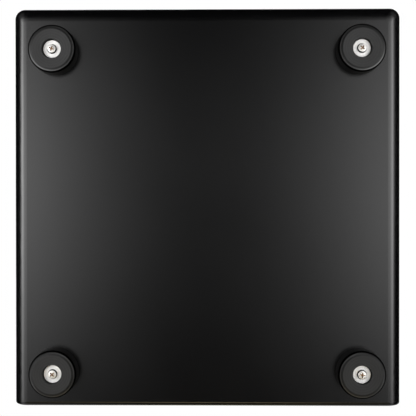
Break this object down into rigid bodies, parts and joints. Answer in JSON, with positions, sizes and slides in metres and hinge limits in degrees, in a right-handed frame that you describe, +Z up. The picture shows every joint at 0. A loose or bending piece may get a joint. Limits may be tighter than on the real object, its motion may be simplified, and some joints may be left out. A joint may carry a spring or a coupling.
{
  "type": "counting scale",
  "caption": "Bench counting scale: low square housing on round rubber feet, sloped keypad and display console in front, lift-off weighing pan on a load cell behind.",
  "frame": {"origin": "centre of the footprint, in the plane the feet stand on", "axes": "+Z up, -Y towards the operator (console side), +X to the operator's right"},
  "size_m": [0.3224, 0.3304, 0.1032],
  "materials": {
    "base_black": "satin black powder coat",
    "cover_black": "fine spark-eroded texture",
    "rear_black": "satin black powder coat",
    "foot_rubber": "moulded",
    "zinc": "bright zinc",
    "black_steel": "black oxide",
    "cast_alu": "as cast",
    "cell_alu": "milled",
    "stainless": "brushed stainless",
    "console_grey": "satin film",
    "window_clear": "clear acrylic",
    "lcd": "reflective LCD",
    "key_light": "satin",
    "key_blue": "satin",
    "key_orange": "satin",
    "silicone": "translucent silicone",
    "pcb_green": "solder mask",
    "component_black": "moulded",
    "battery_grey": "moulded ABS",
    "connector_black": "moulded nylon",
    "port_steel": "nickel plated",
    "rocker_black": "moulded",
    "cable_black": "PVC sheath"
  },
  "bodies": {
    "housing": {"base_shell": "base_black", "upper_cover": "cover_black", "rear_panel": "rear_black", "foot_front_left": "foot_rubber", "foot_front_right": "foot_rubber", "foot_rear_left": "foot_rubber", "foot_rear_right": "foot_rubber", "foot_washers": "zinc", "foot_screws": "zinc", "chassis": "cast_alu", "load_cell": "cell_alu", "load_cell_mount": "cell_alu", "load_cell_lower_bolts": "black_steel", "overload_stops": "zinc", "stop_locknuts": "zinc", "cover_screws": "zinc", "rear_panel_screws": "black_steel", "power_inlet": "connector_black", "serial_port": "port_steel", "serial_jackscrews": "zinc", "power_switch_body": "connector_black", "console_panel": "console_grey", "display_window": "window_clear", "keypad_membrane": "silicone", "console_board": "pcb_green", "console_screws": "zinc", "lcd_modules": "lcd", "battery": "battery_grey", "battery_strap": "zinc", "main_board": "pcb_green", "board_standoffs": "zinc", "board_components": "component_black", "load_cell_cable": "cable_black", "battery_leads": "cable_black", "console_harness": "cable_black"},
    "platform": {"platform_spider": "cast_alu", "load_cell_riser": "cell_alu", "load_cell_upper_bolts": "black_steel", "pan_buffers": "foot_rubber"},
    "pan": {"weighing_pan": "stainless"},
    "rocker": {"power_rocker": "rocker_black"},
    "key_7": {"key_7": "key_light"},
    "key_8": {"key_8": "key_light"},
    "key_9": {"key_9": "key_light"},
    "key_clear": {"key_clear": "key_orange"},
    "key_4": {"key_4": "key_light"},
    "key_5": {"key_5": "key_light"},
    "key_6": {"key_6": "key_light"},
    "key_point": {"key_point": "key_light"},
    "key_1": {"key_1": "key_light"},
    "key_2": {"key_2": "key_light"},
    "key_3": {"key_3": "key_light"},
    "key_0": {"key_0": "key_light"},
    "key_zero": {"key_zero": "key_blue"},
    "key_tare": {"key_tare": "key_blue"},
    "key_unit_weight": {"key_unit_weight": "key_blue"},
    "key_sample": {"key_sample": "key_blue"},
    "key_add": {"key_add": "key_blue"},
    "key_print": {"key_print": "key_blue"}
  },
  "joints": [
    {"name": "platform_deflection", "type": "slide", "parent": "housing", "child": "platform", "axis": [0, 0, 1], "range_m": [-0.0005, 0], "stiffness_N_per_m": 300000, "springref_m": 0.0001, "deforming": ["load_cell"]},
    {"name": "pan_lift_off", "type": "slide", "parent": "platform", "child": "pan", "axis": [0, 0, 1], "range_m": [0, 0.03]},
    {"name": "power_rocker_tilt", "type": "hinge", "parent": "housing", "child": "rocker", "pos_m": [0.117, 0.1465, 0.055], "axis": [1, 0, 0], "range_deg": [-20, 0]},
    {"name": "key_7_press", "type": "slide", "parent": "housing", "child": "key_7", "axis": [0, 0.3338, -0.9426], "range_m": [0, 0.0012], "stiffness_N_per_m": 500, "springref_m": -0.0006, "deforming": ["keypad_membrane"]},
    {"name": "key_8_press", "type": "slide", "parent": "housing", "child": "key_8", "axis": [0, 0.3338, -0.9426], "range_m": [0, 0.0012], "stiffness_N_per_m": 500, "springref_m": -0.0006, "deforming": ["keypad_membrane"]},
    {"name": "key_9_press", "type": "slide", "parent": "housing", "child": "key_9", "axis": [0, 0.3338, -0.9426], "range_m": [0, 0.0012], "stiffness_N_per_m": 500, "springref_m": -0.0006, "deforming": ["keypad_membrane"]},
    {"name": "key_clear_press", "type": "slide", "parent": "housing", "child": "key_clear", "axis": [0, 0.3338, -0.9426], "range_m": [0, 0.0012], "stiffness_N_per_m": 500, "springref_m": -0.0006, "deforming": ["keypad_membrane"]},
    {"name": "key_4_press", "type": "slide", "parent": "housing", "child": "key_4", "axis": [0, 0.3338, -0.9426], "range_m": [0, 0.0012], "stiffness_N_per_m": 500, "springref_m": -0.0006, "deforming": ["keypad_membrane"]},
    {"name": "key_5_press", "type": "slide", "parent": "housing", "child": "key_5", "axis": [0, 0.3338, -0.9426], "range_m": [0, 0.0012], "stiffness_N_per_m": 500, "springref_m": -0.0006, "deforming": ["keypad_membrane"]},
    {"name": "key_6_press", "type": "slide", "parent": "housing", "child": "key_6", "axis": [0, 0.3338, -0.9426], "range_m": [0, 0.0012], "stiffness_N_per_m": 500, "springref_m": -0.0006, "deforming": ["keypad_membrane"]},
    {"name": "key_point_press", "type": "slide", "parent": "housing", "child": "key_point", "axis": [0, 0.3338, -0.9426], "range_m": [0, 0.0012], "stiffness_N_per_m": 500, "springref_m": -0.0006, "deforming": ["keypad_membrane"]},
    {"name": "key_1_press", "type": "slide", "parent": "housing", "child": "key_1", "axis": [0, 0.3338, -0.9426], "range_m": [0, 0.0012], "stiffness_N_per_m": 500, "springref_m": -0.0006, "deforming": ["keypad_membrane"]},
    {"name": "key_2_press", "type": "slide", "parent": "housing", "child": "key_2", "axis": [0, 0.3338, -0.9426], "range_m": [0, 0.0012], "stiffness_N_per_m": 500, "springref_m": -0.0006, "deforming": ["keypad_membrane"]},
    {"name": "key_3_press", "type": "slide", "parent": "housing", "child": "key_3", "axis": [0, 0.3338, -0.9426], "range_m": [0, 0.0012], "stiffness_N_per_m": 500, "springref_m": -0.0006, "deforming": ["keypad_membrane"]},
    {"name": "key_0_press", "type": "slide", "parent": "housing", "child": "key_0", "axis": [0, 0.3338, -0.9426], "range_m": [0, 0.0012], "stiffness_N_per_m": 500, "springref_m": -0.0006, "deforming": ["keypad_membrane"]},
    {"name": "key_zero_press", "type": "slide", "parent": "housing", "child": "key_zero", "axis": [0, 0.3338, -0.9426], "range_m": [0, 0.0012], "stiffness_N_per_m": 500, "springref_m": -0.0006, "deforming": ["keypad_membrane"]},
    {"name": "key_tare_press", "type": "slide", "parent": "housing", "child": "key_tare", "axis": [0, 0.3338, -0.9426], "range_m": [0, 0.0012], "stiffness_N_per_m": 500, "springref_m": -0.0006, "deforming": ["keypad_membrane"]},
    {"name": "key_unit_weight_press", "type": "slide", "parent": "housing", "child": "key_unit_weight", "axis": [0, 0.3338, -0.9426], "range_m": [0, 0.0012], "stiffness_N_per_m": 500, "springref_m": -0.0006, "deforming": ["keypad_membrane"]},
    {"name": "key_sample_press", "type": "slide", "parent": "housing", "child": "key_sample", "axis": [0, 0.3338, -0.9426], "range_m": [0, 0.0012], "stiffness_N_per_m": 500, "springref_m": -0.0006, "deforming": ["keypad_membrane"]},
    {"name": "key_add_press", "type": "slide", "parent": "housing", "child": "key_add", "axis": [0, 0.3338, -0.9426], "range_m": [0, 0.0012], "stiffness_N_per_m": 500, "springref_m": -0.0006, "deforming": ["keypad_membrane"]},
    {"name": "key_print_press", "type": "slide", "parent": "housing", "child": "key_print", "axis": [0, 0.3338, -0.9426], "range_m": [0, 0.0012], "stiffness_N_per_m": 500, "springref_m": -0.0006, "deforming": ["keypad_membrane"]}
  ]
}
